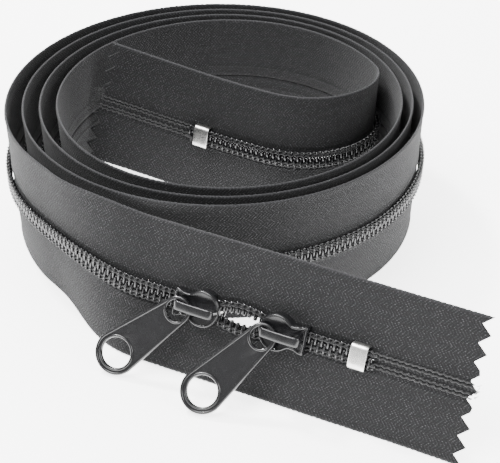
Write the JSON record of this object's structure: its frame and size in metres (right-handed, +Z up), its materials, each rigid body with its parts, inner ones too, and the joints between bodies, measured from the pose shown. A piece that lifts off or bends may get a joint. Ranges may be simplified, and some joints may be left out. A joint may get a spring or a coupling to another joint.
{
  "type": "coil zipper",
  "caption": "Long black nylon coil zipper wound into a roll, with two facing sliders, ring pulls and a metal stop near each pinked end.",
  "frame": {"origin": "centre of the bounding box's base, on the ground the roll stands on", "axes": "+X along the straight outer run towards its cut end, +Y from the run to the roll's far side, +Z up"},
  "size_m": [0.1406, 0.1238, 0.0365],
  "materials": {
    "tape": "woven polyester herringbone",
    "coil": "satin nylon monofilament",
    "yarn": "twisted polyester yarn",
    "casting": "glossy black enamel",
    "spring_steel": "bright strip",
    "stop_metal": "bright rolled"
  },
  "bodies": {
    "strip": {"upper_tape": "tape", "lower_tape": "tape", "upper_coil": "coil", "lower_coil": "coil", "upper_core_cord": "yarn", "lower_core_cord": "yarn", "upper_inner_thread": "yarn", "upper_outer_thread": "yarn", "lower_inner_thread": "yarn", "lower_outer_thread": "yarn", "front_stop": "stop_metal", "inner_stop": "stop_metal"},
    "left_slider": {"left_slider_body": "casting", "left_slider_bridge": "casting"},
    "left_spring": {"left_lock_spring": "spring_steel"},
    "left_puller": {"left_pull": "casting"},
    "right_slider": {"right_slider_body": "casting", "right_slider_bridge": "casting"},
    "right_spring": {"right_lock_spring": "spring_steel"},
    "right_puller": {"right_pull": "casting"}
  },
  "joints": [
    {"name": "left_slider_slide", "type": "slide", "parent": "strip", "child": "left_slider", "axis": [1, 0, 0], "range_m": [-0.0116, 0.0045], "deforming": ["upper_tape", "lower_tape", "upper_coil", "lower_coil", "upper_core_cord", "lower_core_cord", "upper_inner_thread", "upper_outer_thread", "lower_inner_thread", "lower_outer_thread"]},
    {"name": "left_pull_lift", "type": "hinge", "parent": "left_slider", "child": "left_puller", "pos_m": [0.00519, -0.04751, 0.01668], "axis": [-0.7431, 0.2722, 0.6113], "range_deg": [0, 45]},
    {"name": "left_pawl_lift", "type": "slide", "parent": "left_slider", "child": "left_spring", "axis": [0, -0.9135, 0.4067], "range_m": [0, 0.0003]},
    {"name": "right_slider_slide", "type": "slide", "parent": "strip", "child": "right_slider", "axis": [1, 0, 0], "range_m": [-0.0045, 0.0096], "deforming": ["upper_tape", "lower_tape", "upper_coil", "lower_coil", "upper_core_cord", "lower_core_cord", "upper_inner_thread", "upper_outer_thread", "lower_inner_thread", "lower_outer_thread"]},
    {"name": "right_pull_lift", "type": "hinge", "parent": "right_slider", "child": "right_puller", "pos_m": [0.02527, -0.04741, 0.01691], "axis": [-0.8387, 0.2215, 0.4976], "range_deg": [0, 45]},
    {"name": "right_pawl_lift", "type": "slide", "parent": "right_slider", "child": "right_spring", "axis": [0, -0.9135, 0.4067], "range_m": [0, 0.0003]}
  ]
}
